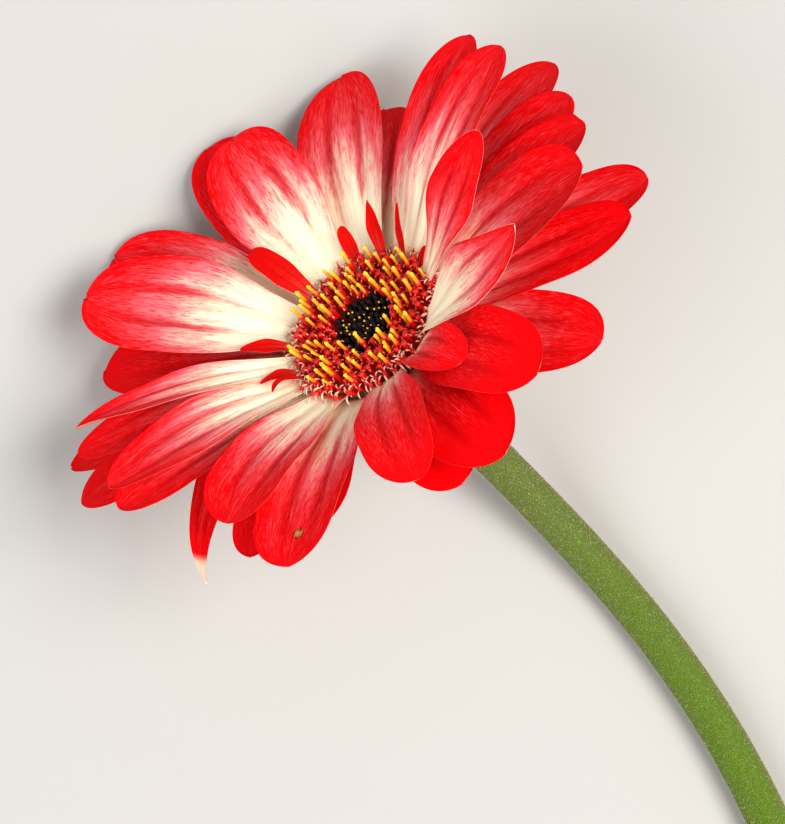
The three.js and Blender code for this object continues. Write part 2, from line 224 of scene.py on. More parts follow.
def blade(row, seed, stations, across, thickness, base_share, relief, notch, point=0.0):
    """A petal's points, faces and fields, growing from the origin along +X with its face up.

    The relief is the depth of its two furrows, and the notch that of the small teeth at its tip.
    """
    length, width, rise, sweep, twist, fold = row
    chance = np.random.default_rng(seed)
    s = 1 - (1 - np.linspace(0, 1, stations + 1)) ** 1.35
    t = np.sin(np.linspace(-1, 1, across) * 1.35) / math.sin(1.35)
    sweep, twist = math.radians(sweep), math.radians(twist)

    def along(at):
        slope = (
            rise[0] * (1 - at) * (1 - 2 * at)
            + rise[1] * 4 * at * (1 - at)
            + rise[2] * at * (2 * at - 1)
        )
        return direction(sweep * at, np.radians(slope))

    steps = along((s[1:] + s[:-1]) / 2) * (np.diff(s) * length)[:, None]
    centre = np.vstack([np.zeros(3), np.cumsum(steps, 0)])
    ahead = along(s)
    level = direction(sweep * s + math.pi / 2, 0 * s)
    turn = (twist * s)[:, None]
    side = level * np.cos(turn) + np.cross(ahead, level) * np.sin(turn)
    up = np.cross(ahead, side)

    half = half_width(s, width, base_share, point)[:, None]
    curl = max(math.radians(fold), 0.01)
    bend = curl * t[None, :]
    out = half * np.sin(bend) / curl
    lift = half * (1 - np.cos(bend)) / curl
    normal = side[:, None] * -np.sin(bend)[..., None] + up[:, None] * np.cos(bend)[..., None]
    surface = centre[:, None] + side[:, None] * out[..., None] + up[:, None] * lift[..., None]

    S, T = np.meshgrid(s, t, indexing="ij")
    present = smooth(S / 0.25) * (1 - 0.92 * smooth((S - 0.62) / 0.34))
    furrow = np.exp(-(((np.abs(T) - FURROW_PLACE - 0.03 * chance.normal()) / 0.13) ** 2))
    ridge = np.exp(-((T / 0.16) ** 2)) + 0.6 * np.exp(-(((np.abs(T) - 0.62) / 0.14) ** 2))
    shape = relief * present * (0.45 * ridge - furrow)
    wave_a, wave_b = chance.uniform(0, 2 * math.pi, 2)
    pace = chance.uniform(1.4, 2.4)
    edge = np.abs(T) ** 3 * smooth(S / 0.3)
    shape += relief * 0.9 * edge * np.sin(2 * math.pi * pace * S + np.where(T > 0, wave_a, wave_b))
    shape += relief * 0.8 * np.sin(2 * math.pi * 0.8 * S + wave_b) * smooth(S / 0.2)

    teeth = chance.uniform(0.55, 1.25) * np.exp(-(((T - chance.normal(-0.36, 0.05)) / 0.11) ** 2))
    second = chance.uniform(0.3, 1.1)
    teeth = teeth + second * np.exp(-(((T - chance.normal(0.34, 0.05)) / 0.12) ** 2))
    pull = notch * teeth * smooth((S - 0.86) / 0.14)
    surface = surface - ahead[:, None] * pull[..., None]

    thin = thickness / 2 * (1 - 0.76 * T**2) * (1 - 0.5 * smooth((S - 0.6) / 0.4))
    top = surface + normal * (shape + thin)[..., None]
    bottom = surface + normal * (shape - thin)[..., None]
    points = np.vstack([top.reshape(-1, 3), bottom.reshape(-1, 3)])
    rows, columns = stations + 1, across
    under = rows * columns
    faces = []
    for i in range(rows - 1):
        for j in range(columns - 1):
            a = i * columns + j
            faces.append((a, a + columns, a + columns + 1, a + 1))
            faces.append((a + under, a + under + 1, a + under + columns + 1, a + under + columns))
    for i in range(rows - 1):
        a, b = i * columns, i * columns + columns - 1
        faces.append((a, a + under, a + under + columns, a + columns))
        faces.append((b, b + columns, b + under + columns, b + under))
    for j in range(columns - 1):
        a, b = j, (rows - 1) * columns + j
        faces.append((a, a + 1, a + under + 1, a + under))
        faces.append((b, b + under, b + under + 1, b + 1))
    place = np.stack([T.ravel(), S.ravel()], -1)
    place = np.vstack([place, place])
    below = np.repeat([0.0, 1.0], under)[:, None]
    return points, faces, np.hstack([place, below])


def planted(points, radius, azimuth, height):
    """Points of a blade moved from its own place to its root on the head."""
    turn = math.radians(azimuth)
    x, y, z = points.T
    return np.stack(
        [
            x * math.cos(turn) - y * math.sin(turn) + radius * math.cos(turn),
            x * math.sin(turn) + y * math.cos(turn) + radius * math.sin(turn),
            z + height,
        ],
        -1,
    )


def whorl_height(whorl):
    return WHORL_TOP - (RAY_THICKNESS + WHORL_GAP) * (2 - whorl)


def make_blade(name, row, root, seed, cream, rim, tip, blemish, material, node, slot_name, **shape):
    points, faces, place = blade(row, seed, **shape)
    spot = np.zeros(len(points))
    if blemish:
        gap = np.hypot((place[:, 0] - blemish[0]) * row[1] / 2, (place[:, 1] - blemish[1]) * row[0])
        spot = 1 - smooth(gap / blemish[2])
    tone = np.stack([np.full(len(points), cream), np.full(len(points), seed * 7.31), spot], -1)
    edge = rim + tip * smooth((place[:, 1] - 0.82) / 0.14)
    mesh = build_mesh(name, planted(points, *root), faces, blade=place, tone=tone, rim=edge)
    return head_piece(mesh, material, [node], slot_name)


# ---- Node helpers ----

class Graph:
    """Adds nodes to a tree: a value that is a socket is linked, and any other is set."""

    def __init__(self, tree):
        self.tree = tree

    def add(self, kind, inputs=None, **settings):
        node = self.tree.nodes.new(kind)
        for key, value in settings.items():
            setattr(node, key, value)
        for key, value in (inputs or {}).items():
            self.feed(node.inputs[key], value)
        return node

    def feed(self, socket, value):
        if isinstance(value, bpy.types.NodeSocket):
            self.tree.links.new(value, socket)
        else:
            socket.default_value = value

    def fill(self, node, **values):
        """Feeds a node's inputs by name, with _ for a space."""
        for label, value in values.items():
            self.feed(node.inputs[label.replace("_", " ")], value)

    def math(self, operation, *values, clamp=False):
        node = self.add("ShaderNodeMath", operation=operation, use_clamp=clamp)
        for socket, value in zip(node.inputs, values):
            self.feed(socket, value)
        return node.outputs[0]

    def times(self, first, *others):
        """The product of all its values."""
        for value in others:
            first = self.math("MULTIPLY", first, value)
        return first

    def span(self, value, low, high, to_low=0.0, to_high=1.0, kind="SMOOTHSTEP"):
        node = self.add("ShaderNodeMapRange", interpolation_type=kind)
        for socket, given in zip(node.inputs, (value, low, high, to_low, to_high)):
            self.feed(socket, given)
        return node.outputs[0]

    def mix(self, share, first, second, blend="MIX"):
        node = self.add("ShaderNodeMix", data_type="RGBA", blend_type=blend, clamp_factor=True)
        colours = [s for s in node.inputs if s.type == "RGBA"]
        self.feed(node.inputs[0], share)
        self.feed(colours[0], first)
        self.feed(colours[1], second)
        return [s for s in node.outputs if s.type == "RGBA"][0]

    def ramp(self, value, stops):
        node = self.add("ShaderNodeValToRGB", {0: value})
        elements = node.color_ramp.elements
        elements[0].position, elements[0].color = stops[0]
        elements[1].position, elements[1].color = stops[-1]
        for place, shade in stops[1:-1]:
            elements.new(place).color = shade
        return node.outputs[0]

    def noise(self, vector, scale, detail, roughness):
        inputs = {"Vector": vector, "Scale": scale, "Detail": detail, "Roughness": roughness}
        return self.add("ShaderNodeTexNoise", inputs).outputs[0]

    def chance(self, low, high, seed, index=None):
        """A random number between two limits for each point."""
        node = self.add("FunctionNodeRandomValue", data_type="FLOAT")
        sockets = {s.name: s for s in node.inputs if s.enabled}
        self.feed(sockets["Min"], low)
        self.feed(sockets["Max"], high)
        self.feed(sockets["Seed"], seed)
        if index is not None:
            self.feed(sockets["ID"], index)
        return next(o for o in node.outputs if o.enabled)

    def vector(self, x, y, z):
        return self.add("ShaderNodeCombineXYZ", {0: x, 1: y, 2: z}).outputs[0]

    def field_value(self, name):
        """The one number of a float attribute."""
        return self.add("ShaderNodeAttribute", attribute_name=name).outputs["Fac"]

    def field(self, name):
        """The three numbers of a vector attribute."""
        read = self.add("ShaderNodeAttribute", attribute_name=name)
        return self.add("ShaderNodeSeparateXYZ", {0: read.outputs["Vector"]}).outputs


def colour(text):
    """A linear colour from six hexadecimal digits."""
    parts = [int(text[i:i + 2], 16) / 255 for i in (0, 2, 4)]
    return (*[p / 12.92 if p < 0.04045 else ((p + 0.055) / 1.055) ** 2.4 for p in parts], 1.0)


def between(first, second, share):
    """A fixed colour part of the way from one to another."""
    return tuple(a + (b - a) * share for a, b in zip(first, second))


def new_group(name, inputs, outputs):
    """An empty shader group with named float, vector or colour sockets, and its two ends."""
    tree = bpy.data.node_groups.new(name, "ShaderNodeTree")
    kinds = {"f": "NodeSocketFloat", "v": "NodeSocketVector", "c": "NodeSocketColor"}
    for label, kind in inputs:
        tree.interface.new_socket(label, in_out="INPUT", socket_type=kinds[kind])
    for label, kind in outputs:
        tree.interface.new_socket(label, in_out="OUTPUT", socket_type=kinds[kind])
    graph = Graph(tree)
    return graph, graph.add("NodeGroupInput"), graph.add("NodeGroupOutput")


def use_group(graph, group, **values):
    node = graph.add("ShaderNodeGroup", node_tree=group)
    graph.fill(node, **values)
    return node.outputs


def new_material(name):
    material = bpy.data.materials.new(name)
    material.use_nodes = True
    graph = Graph(material.node_tree)
    shader = material.node_tree.nodes["Principled BSDF"]
    return material, graph, shader


def set_relief(graph, shader, height, strength, distance):
    inputs = {"Height": height, "Strength": strength, "Distance": distance}
    bump = graph.add("ShaderNodeBump", inputs)
    graph.feed(shader.inputs["Normal"], bump.outputs[0])


# ---- Shared effects ----

def vein_streaks_group():
    """Fine lengthwise streaks that follow a blade's own across and along places."""
    graph, given, made = new_group(
        "vein_streaks",
        [("Across", "f"), ("Along", "f"), ("Seed", "f"), ("Fineness", "f"), ("Length", "f")],
        [("Fine", "f"), ("Broad", "f"), ("Ribs", "f")],
    )
    take = given.outputs
    fine_x = graph.times(take["Across"], take["Fineness"])
    fine_y = graph.math("DIVIDE", take["Along"], take["Length"])
    fine = graph.noise(graph.vector(fine_x, fine_y, take["Seed"]), 1.0, 4.0, 0.65)
    broad_x = graph.times(fine_x, 0.28)
    broad_y = graph.times(fine_y, 0.3)
    broad = graph.noise(graph.vector(broad_x, broad_y, take["Seed"]), 1.0, 2.0, 0.5)
    rib_angle = graph.times(take["Across"], 44.0)
    ribs = graph.math("MULTIPLY_ADD", graph.math("SINE", rib_angle), 0.5, 0.5)
    graph.fill(made, Fine=fine, Broad=broad, Ribs=ribs)
    return graph.tree


def speckle_group():
    """Small pale or dark specks with a softer mottle under them, from object coordinates."""
    graph, given, made = new_group(
        "speckle",
        [("Vector", "v"), ("Scale", "f"), ("Sharpness", "f")],
        [("Specks", "f"), ("Mottle", "f")],
    )
    take = given.outputs
    specks = graph.noise(take["Vector"], take["Scale"], 2.0, 0.6)
    low = graph.math("SUBTRACT", 0.62, take["Sharpness"])
    wide = graph.noise(take["Vector"], graph.times(take["Scale"], 0.2), 3.0, 0.5)
    graph.fill(made, Specks=graph.span(specks, low, 0.66), Mottle=wide)
    return graph.tree


VEINS = vein_streaks_group()
SPECKLE = speckle_group()


# ---- Materials ----

def petal_material(name, cream, blush, red, deep, under, rim, furrow_depth):
    """Satin petal: cream at the root, streaked pink, then red, with darker furrows and pale-pink
    patches of painted sheen.
    """
    cream, blush, red, deep, under, rim = map(colour, (cream, blush, red, deep, under, rim))
    material, graph, shader = new_material(name)
    place = graph.field("blade")
    tone = graph.field("tone")
    across, along, below = place[0], place[1], place[2]
    reach, seed, spot = tone[0], tone[1], tone[2]
    veins = use_group(
        graph, VEINS, Across=across, Along=along, Seed=seed, Fineness=40.0, Length=0.05
    )
    edge = graph.math("POWER", graph.math("ABSOLUTE", across), 2.6)
    past = graph.math("SUBTRACT", along, reach)
    past = graph.math("MULTIPLY_ADD", edge, 0.26, past)
    offset = graph.math("SUBTRACT", graph.math("ABSOLUTE", across), FURROW_PLACE)
    bump = graph.math("POWER", graph.math("DIVIDE", offset, 0.1), 2.0)
    furrow = graph.math("POWER", 2.718, graph.times(bump, -1.0))
    past = graph.math("MULTIPLY_ADD", furrow, 0.13, past)
    past = graph.math("MULTIPLY_ADD", graph.math("SUBTRACT", veins["Broad"], 0.5), 0.34, past)
    past = graph.math("MULTIPLY_ADD", graph.math("SUBTRACT", veins["Fine"], 0.5), 0.12, past)
    face = graph.ramp(
        graph.span(past, -0.36, 0.44, kind="LINEAR"),
        [
            (0.0, cream),
            (0.26, between(cream, blush, 0.1)),
            (0.44, between(cream, blush, 0.5)),
            (0.6, blush),
            (0.76, between(blush, red, 0.72)),
            (0.94, red),
        ],
    )
    dash = graph.span(veins["Fine"], 0.5, 0.62)
    pale = graph.span(veins["Fine"], 0.47, 0.36)
    rising = graph.span(past, -0.22, 0.0)
    zone = graph.times(rising, graph.span(past, 0.6, 0.25))
    face = graph.mix(graph.times(dash, zone, 0.6), face, red)
    far = graph.times(graph.span(past, 0.1, 0.3), graph.span(past, 0.85, 0.5))
    face = graph.mix(graph.times(dash, far, 0.4), face, deep)
    face = graph.mix(graph.times(pale, far, 0.26), face, blush)
    inner = graph.math("SUBTRACT", 1.0, edge, clamp=True)
    # Broad pale-pink patches on the red away from the margins: painted sheen where the satin catches
    # the light.
    painted_sheen = graph.times(graph.span(veins["Broad"], 0.42, 0.66), inner)
    painted_sheen = graph.times(painted_sheen, graph.span(past, 0.75, 0.3))
    painted_sheen = graph.times(painted_sheen, graph.math("MULTIPLY_ADD", pale, 0.5, 0.16))
    face = graph.mix(graph.times(painted_sheen, rising), face, blush)
    # Furrows tinted towards the deep red: the petal's own darker veins in the red zone, and a faint
    # painted shade along the creases in the cream zone.
    shown = graph.times(furrow, graph.span(past, -0.2, 0.2, 0.03, furrow_depth))
    shown = graph.times(shown, graph.span(along, 0.95, 0.6))
    face = graph.mix(shown, face, deep)
    ring = graph.times(graph.span(spot, 0.1, 0.45), graph.span(spot, 0.85, 0.5))
    dried = graph.times(graph.span(spot, 0.3, 0.6), 0.85)
    face = graph.mix(dried, face, colour("c79a4a"))
    scorched = graph.times(ring, graph.span(veins["Fine"], 0.35, 0.6))
    face = graph.mix(scorched, face, colour("5c2a10"))
    back = graph.mix(graph.span(past, -0.2, 0.5), under, between(under, red, 0.62))
    back = graph.mix(graph.times(dash, 0.35), back, red)
    rim_share = graph.field_value("rim")
    turned = graph.times(graph.span(rim_share, 0.3, 0.9), graph.span(edge, 0.3, 0.75))
    back = graph.mix(turned, back, rim)
    shade = graph.mix(graph.span(below, 0.85, 1.0), face, back)
    centred = graph.math("ABSOLUTE", graph.math("MULTIPLY_ADD", below, 2.0, -1.0))
    rimmed = graph.times(graph.span(centred, 0.9, 0.4), rim_share)
    shade = graph.mix(rimmed, shade, rim)
    shade = graph.mix(graph.span(rim_share, 1.1, 1.7), shade, rim)
    gloss = graph.span(veins["Fine"], 0.3, 0.7, 0.5, 0.66)
    graph.fill(shader, Base_Color=shade, Roughness=gloss, Specular_IOR_Level=0.09)
    ribs = graph.times(veins["Ribs"], 0.6)
    height = graph.math("MULTIPLY_ADD", veins["Fine"], 0.8, ribs)
    set_relief(graph, shader, height, 0.4, 0.00008)
    return material


def organ_material(name, low, high, tip, roughness, scale, bump=0.0002, sheen=0.0):
    """A small floret part: a mottled body that takes its tip colour where its tip field rises."""
    low, high, tip = map(colour, (low, high, tip))
    material, graph, shader = new_material(name)
    here = graph.add("ShaderNodeTexCoord").outputs["Object"]
    spots = use_group(graph, SPECKLE, Vector=here, Scale=scale, Sharpness=0.1)
    body = graph.mix(spots["Mottle"], low, high)
    shade = graph.mix(graph.span(graph.field_value("tip"), 0.15, 0.75), body, tip)
    gloss = graph.span(spots["Specks"], 0, 1, roughness, roughness - 0.12)
    graph.fill(shader, Base_Color=shade, Roughness=gloss, Sheen_Weight=sheen)
    set_relief(graph, shader, spots["Specks"], 0.5, bump)
    return material


def green_material(name, low, high, fuzz, edge, speck_scale):
    """Hairy green tissue: mottled green under pale down that thins along the piece, turning to the
    edge colour where the third way field rises: the bract tips' and cut end's own colour, and on one
    side of the stem a painted rim light.
    """
    low, high, fuzz, edge = map(colour, (low, high, fuzz, edge))
    material, graph, shader = new_material(name)
    here = graph.add("ShaderNodeTexCoord").outputs["Object"]
    spots = use_group(graph, SPECKLE, Vector=here, Scale=speck_scale, Sharpness=0.16)
    way = graph.field("way")
    body = graph.mix(way[0], low, high)
    blotches = graph.span(spots["Mottle"], 0.35, 0.7, 0.0, 0.5)
    body = graph.mix(blotches, body, between(high, low, 0.2))
    body = graph.mix(graph.times(way[2], 0.6), body, edge)
    down = graph.times(spots["Specks"], way[1], 0.6)
    body = graph.mix(down, body, fuzz)
    gloss = graph.span(spots["Specks"], 0, 1, 0.55, 0.8)
    graph.fill(shader, Base_Color=body, Roughness=gloss, Specular_IOR_Level=0.15)
    graph.fill(shader, Sheen_Weight=0.2, Sheen_Tint=(0.85, 0.8, 0.5, 1.0), Sheen_Roughness=0.5)
    set_relief(graph, shader, spots["Specks"], 0.9, 0.0003)
    return material


ray_satin = petal_material(
    "ray_satin",
    cream="fff6d6",
    blush="f4757c",
    red="ee0410",
    deep="b0030a",
    under="efc9ae",
    rim="fbe6cc",
    furrow_depth=0.5,
)
strap_satin = petal_material(
    "strap_satin",
    cream="f2c9a8",
    blush="e2483a",
    red="d80a08",
    deep="980404",
    under="e8b79a",
    rim="f2c4ac",
    furrow_depth=0.25,
)
floret_red = organ_material("floret_red", "c00806", "ff2a10", "ffdcc0", 0.42, 900.0)
pollen_gold = organ_material("pollen_gold", "dc8606", "f6b018", "ffd23c", 0.6, 2600.0, 0.0001)
bud_black = organ_material("bud_black", "030001", "140304", "240606", 0.75, 1400.0)
bed_maroon = organ_material("bed_maroon", "7a0604", "b40e08", "b40e08", 0.7, 700.0)
stem_green = green_material("stem_green", "626e36", "5c8004", "bcc078", "a88c68", 4200.0)
sepal_green = green_material("sepal_green", "6f8a44", "52702c", "bcc79a", "8a5a48", 2600.0)
down_pale = organ_material("down_pale", "b4b878", "cccc96", "e4e2b8", 0.6, 500.0, sheen=0.2)


# ---- Ray petals and straps ----

RAY_SHAPE = dict(stations=46, across=27, thickness=0.3, base_share=0.44, relief=0.28, notch=0.4)
STRAP_SHAPE = dict(stations=22, across=13, thickness=0.28, base_share=0.5, relief=0.1, notch=0.12)
BLEMISH = {34: (0.12, 0.84, 1.5)}
RAY_RIM = {5: 0.9, 9: 0.9, 24: 0.4, 30: 1.0}
STRAP_RIM = {1: 0.9, 8: 0.8}
PLAIN_RIM = 0.12
PALE_TIP = {30: 1.0}
RAY_POINT = {5: 0.6, 9: 0.5, 24: 0.5, 25: 0.4, 26: 0.4, 28: 0.3, 30: 1.0}
STRAP_POINT = {3: 0.9, 4: 0.8, 6: 0.6, 7: 0.8}

for index, (azimuth, whorl, *row, cream) in enumerate(RAYS, 1):
    make_blade(
        f"petal_{index:02d}",
        row,
        (CUP_RADIUS + CLEARANCE, azimuth, whorl_height(whorl)),
        index,
        cream,
        RAY_RIM.get(index, PLAIN_RIM),
        PALE_TIP.get(index, 0.0),
        BLEMISH.get(index),
        ray_satin,
        f"ray_petal_{index:02d}",
        "ray_petals",
        point=RAY_POINT.get(index, 0.0),
        **RAY_SHAPE,
    )

for index, (azimuth, *row, cream) in enumerate(STRAPS, 1):
    make_blade(
        f"strap_{index:02d}",
        row,
        (CUP_RADIUS + CLEARANCE, azimuth, STRAP_LIFT),
        index + 60,
        cream,
        STRAP_RIM.get(index, PLAIN_RIM),
        0.0,
        None,
        strap_satin,
        f"inner_strap_{index:02d}",
        "inner_straps",
        point=STRAP_POINT.get(index, 0.0),
        **STRAP_SHAPE,
    )


# ---- Cup, bracts and stem ----

CUP_PROFILE = [
    (NECK_RADIUS, -CUP_DEPTH),
    (NECK_RADIUS + 0.5, -0.9 * CUP_DEPTH),
    (0.52 * CUP_RADIUS, -0.73 * CUP_DEPTH),
    (0.76 * CUP_RADIUS, -0.5 * CUP_DEPTH),
    (0.93 * CUP_RADIUS, -0.34 * CUP_DEPTH),
    (CUP_RADIUS, -CUP_SHOULDER),
    (CUP_RADIUS, CUP_TOP),
]


def cup_radius(height):
    radii, heights = zip(*CUP_PROFILE)
    return np.interp(height, heights, radii)


def lathe(name, profile, segments, fields=None):
    """A closed solid turned about +Z from (radius, height) points that run from foot to top."""
    points, faces = [(0, 0, profile[0][1])], []
    for radius, height in profile:
        for j in range(segments):
            turn = 2 * math.pi * j / segments
            points.append((radius * math.cos(turn), radius * math.sin(turn), height))
    points.append((0, 0, profile[-1][1]))
    for face in ring_faces(len(profile), segments):
        faces.append(tuple(corner + 1 for corner in face))
    last = len(points) - 1
    for j in range(segments):
        k = (j + 1) % segments
        faces.append((0, 1 + k, 1 + j))
        top = 1 + (len(profile) - 1) * segments
        faces.append((last, top + j, top + k))
    return build_mesh(name, points, faces, **(fields(np.array(points)) if fields else {}))


def make_cup():
    heights = np.linspace(-CUP_DEPTH, -CUP_SHOULDER * 0.9, 26)
    flesh = []
    for z in heights:
        total = cup_radius(z) + cup_radius(z + 0.6) + cup_radius(z - 0.6)
        flesh.append((float(total) / 3, z))
    flesh[0] = (NECK_RADIUS, -CUP_DEPTH)
    flesh.append((CUP_RADIUS, -1.6))
    flesh.append((CUP_RADIUS - 0.2, CUP_TOP - 0.15))
    flesh.append((CUP_RADIUS - 0.6, CUP_TOP))

    def way(points):
        share = np.clip((points[:, 2] + CUP_DEPTH) / CUP_DEPTH, 0, 1)
        return {"way": np.stack([share, np.full(len(points), 0.8), 0 * share], -1)}

    mesh = lathe("cup", flesh, 72, way)
    return head_piece(mesh, sepal_green, ["receptacle_cup"], "bracts")


def make_bracts():
    """Green scales over the cup, one piece for each."""
    root_height = whorl_height(0) - BRACT_DROP
    root_radius = float(cup_radius(root_height))
    slope = math.degrees(math.atan2(-CUP_SHOULDER - root_height, CUP_RADIUS - root_radius))
    pieces = []
    for i in range(BRACT_COUNT):
        row = (BRACT_LENGTH, BRACT_WIDTH, [slope - 1, slope - 5, slope - 31], 0, 0, 18)
        points, faces, place = blade(row, 200 + i, 20, 11, 0.55, 0.6, 0.08, 0.0)
        share = place[:, 1]
        narrow = 1 - 0.75 * smooth((share - 0.45) / 0.55)
        points[:, 1] *= narrow
        azimuth = 360 / BRACT_COUNT * (i + 0.5)
        points = planted(points, root_radius + BRACT_LIFT, azimuth, root_height)
        tipped = smooth((share - 0.7) / 0.3)
        way = np.stack([share, 0.75 - 0.4 * tipped, 0.8 * tipped], -1)
        mesh = build_mesh(f"scale_{i + 1:02d}", points, faces, way=way)
        pieces.append(head_piece(mesh, sepal_green, [f"bract_{i + 1:02d}"], "bracts"))
    return pieces


def stem_path(steps):
    """Centres, directions and radii along the stem, in metres, from the neck to the cut end."""
    axis = Vector(direction(HEAD_HEADING, HEAD_PITCH))
    neck = HEAD_CENTRE / MM - axis * (CUP_DEPTH + CLEARANCE)
    underside = neck.z - NECK_RADIUS * math.cos(HEAD_PITCH)
    descent = underside * HEAD_PITCH / (1 - math.cos(HEAD_PITCH))
    s = STEM_LENGTH * np.linspace(0, 1, steps + 1) ** 1.15
    flare, swell = NECK_RADIUS - STEM_MID_RADIUS, STEM_FOOT_RADIUS - STEM_MID_RADIUS
    radius = STEM_MID_RADIUS + flare * np.exp(-s / 12) + swell * (s / STEM_LENGTH) ** 1.6

    def bearing(at):
        bent = smooth((at - STEM_BEND_START) / STEM_BEND_LENGTH)
        return HEAD_HEADING + math.pi - STEM_BEND * bent

    def fall(at):
        return -HEAD_PITCH * np.maximum(0, 1 - at / descent)

    middle = (s[1:] + s[:-1]) / 2
    moves = direction(bearing(middle), fall(middle)) * np.diff(s)[:, None]
    centre = np.vstack([np.array(neck), np.array(neck) + np.cumsum(moves, 0)])
    down = smooth((s - descent * 0.75) / (descent * 0.3))
    centre[:, 2] = centre[:, 2] * (1 - down) + radius * down
    ahead = direction(bearing(s), fall(s))
    side = direction(bearing(s) + math.pi / 2, 0 * s)
    return s, centre, ahead, side, radius


def make_stem():
    around = 40
    s, centre, ahead, side, radius = stem_path(220)
    up = np.cross(ahead, side)
    turn = np.linspace(0, 2 * math.pi, around, endpoint=False)
    chance = np.random.default_rng(5)
    ripple = np.interp(s, np.linspace(0, STEM_LENGTH, 26), chance.normal(0, 0.03, 26))
    S, A = np.meshgrid(s, turn, indexing="ij")
    girth = radius[:, None] * (1 - 0.012 + 0.012 * np.cos(7 * A)) + ripple[:, None] * 0.5
    sideways = side[:, None] * (girth * np.cos(A))[..., None]
    upwards = up[:, None] * (girth * np.sin(A))[..., None]
    points = centre[:, None] + (sideways + upwards)
    points = points.reshape(-1, 3)
    points[:, 2] = np.maximum(points[:, 2], 0.02)
    share = S.ravel() / STEM_LENGTH
    green = smooth(S.ravel() / 80)
    down = 1.0 - 0.6 * smooth((S.ravel() - 10) / 110)
    # A beige band down one side of the stem, carried in the third way field: painted rim light along
    # that silhouette edge.
    painted_rim_light = np.clip(np.cos(A.ravel() + math.pi * 0.08) - 0.55, 0, 1) * 1.6
    way = np.stack([green, down, painted_rim_light], -1)
    rows = len(s)
    faces = ring_faces(rows, around)
    hub = len(points)
    first, last = centre[0], centre[-1] - ahead[-1] * 0.35
    inner = centre[-1] + (points[-around:] - centre[-1]) * 0.82 - ahead[-1] * 0.1
    points = np.vstack([points, first[None], inner, last[None]])
    way = np.vstack([way, [[0, 1, 0]], np.tile([[0.6, 0.3, 1.0]], (around + 1, 1))])
    end = (rows - 1) * around
    for j in range(around):
        k = (j + 1) % around
        faces.append((hub, k, j))
        faces.append((end + j, end + k, hub + 1 + k, hub + 1 + j))
        faces.append((hub + 1 + j, hub + 1 + k, hub + 1 + around))
    mesh = build_mesh("stem_skin", points * MM, faces, way=way)
    mesh.materials.append(stem_green)
    return finish_piece(as_object("stem_skin", mesh), ["stem"], "stem")


# ---- Disc: what repeats is laid out by geometry nodes ----

DISC_SHIFT = (0.35, 0.55, 0.0)

# Florets and anther columns share these, so that each column stands in a floret.
FLORET_PLACES = dict(
    Count=170, Inner_radius=4.7, Outer_radius=10.9, Height=0.0, Crown=0.0,
    Lean_in=0.02, Lean_out=0.2, Jitter=0.2, Seed=3,
)


def new_layout(name, inputs):
    """A geometry tree with named inputs, its two ends, and the identifier of each input."""
    tree = bpy.data.node_groups.new(name, "GeometryNodeTree")
    kinds = {"g": "Geometry", "f": "Float", "i": "Int", "o": "Object", "m": "Material"}
    keys = {}
    for label, kind in inputs:
        kind = "NodeSocket" + kinds[kind]
        made = tree.interface.new_socket(label, in_out="INPUT", socket_type=kind)
        keys[label] = made.identifier
    tree.interface.new_socket("Geometry", in_out="OUTPUT", socket_type="NodeSocketGeometry")
    graph = Graph(tree)
    return graph, graph.add("NodeGroupInput").outputs, graph.add("NodeGroupOutput"), keys


def stand_copies(graph, take, made, points, turn, size, kept=True):
    """Stands a copy of the shape on each kept point, made real and given its material."""
    shape = graph.add("GeometryNodeObjectInfo", {"Object": take["Shape"]})
    placed = graph.add("GeometryNodeInstanceOnPoints")
    graph.fill(placed, Points=points, Selection=kept, Instance=shape.outputs["Geometry"])
    graph.fill(placed, Rotation=turn, Scale=graph.vector(size, size, size))
    real = graph.add("GeometryNodeRealizeInstances", {0: placed.outputs[0]})
    coated = graph.add("GeometryNodeSetMaterial")
    graph.fill(coated, Geometry=real.outputs[0], Material=take["Material"])
    graph.feed(made.inputs[0], coated.outputs[0])


